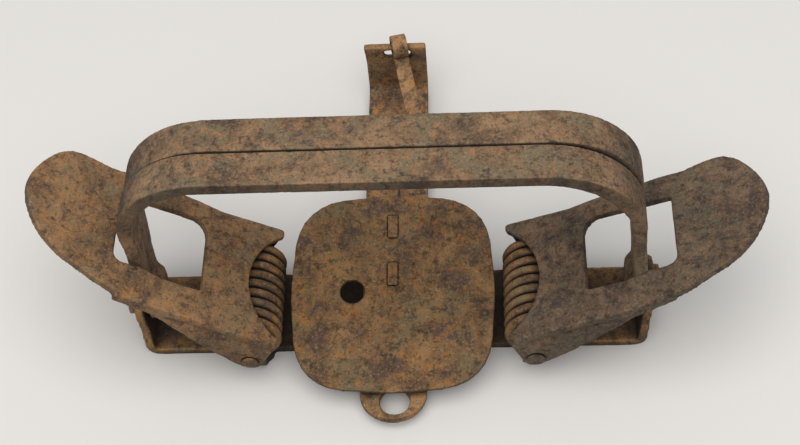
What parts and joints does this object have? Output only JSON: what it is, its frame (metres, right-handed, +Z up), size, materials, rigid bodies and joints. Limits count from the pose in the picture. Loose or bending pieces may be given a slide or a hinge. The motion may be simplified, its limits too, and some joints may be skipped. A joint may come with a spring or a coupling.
{
  "type": "coil spring trap",
  "caption": "Old steel jaw trap, sprung: two upright jaws, two coil-spring levers on a strap base, a pan, a dog and a chain loop.",
  "frame": {"origin": "on the floor, under the crossing of the base strap and the cross-piece", "axes": "+X along the base strap to the right as pictured, +Y from the chain loop to the dog post, +Z up"},
  "size_m": [0.2266, 0.1425, 0.0882],
  "materials": {
    "strap_rust": "rusted, matte",
    "lever_rust": "rusted, matte",
    "jaw_rust": "rusted, matte",
    "pan_rust": "rusted, matte",
    "spring_rust": "rusted, matte",
    "rivet_rust": "rusted, matte"
  },
  "bodies": {
    "base": {"base_strap": "strap_rust", "cross_piece": "strap_rust", "frame_rivet_left": "rivet_rust", "frame_rivet_right": "rivet_rust", "lever_pin_left": "rivet_rust", "lever_pin_right": "rivet_rust", "spring_left": "spring_rust", "spring_right": "spring_rust", "pan_post": "strap_rust", "pan_pin": "rivet_rust", "post_rivet": "rivet_rust"},
    "lever_left": {"lever_left": "lever_rust"},
    "lever_right": {"lever_right": "lever_rust"},
    "jaw_front": {"jaw_front": "jaw_rust"},
    "jaw_back": {"jaw_back": "jaw_rust"},
    "pan": {"pan": "pan_rust", "pan_shank": "strap_rust"},
    "dog": {"dog": "strap_rust"}
  },
  "joints": [
    {"name": "lever_left_hinge", "type": "hinge", "parent": "base", "child": "lever_left", "pos_m": [-0.0452, 0, 0.0129], "axis": [0, 1, 0], "range_deg": [-43, 0], "stiffness_Nm_per_rad": 0.2, "springref_deg": 28.65, "deforming": ["spring_left"]},
    {"name": "lever_right_hinge", "type": "hinge", "parent": "base", "child": "lever_right", "pos_m": [0.0452, -0.0007, 0.0129], "axis": [0, -1, 0], "range_deg": [-35.5, 0], "stiffness_Nm_per_rad": 0.2, "springref_deg": 28.65, "deforming": ["spring_right"]},
    {"name": "jaw_front_hinge", "type": "hinge", "parent": "base", "child": "jaw_front", "pos_m": [0, -0.0044, 0.0145], "axis": [1, 0, 0], "range_deg": [0, 1.1]},
    {"name": "jaw_back_hinge", "type": "hinge", "parent": "base", "child": "jaw_back", "pos_m": [0, 0.0044, 0.0145], "axis": [-1, 0, 0], "range_deg": [0, 1.1]},
    {"name": "pan_hinge", "type": "hinge", "parent": "base", "child": "pan", "pos_m": [0, 0.0242, 0.0126], "axis": [-1, 0, 0], "range_deg": [0, 12.3]},
    {"name": "dog_hinge", "type": "hinge", "parent": "base", "child": "dog", "pos_m": [0.0013, 0.09465, 0.02625], "axis": [-1, 0, 0], "range_deg": [0, 225]}
  ]
}
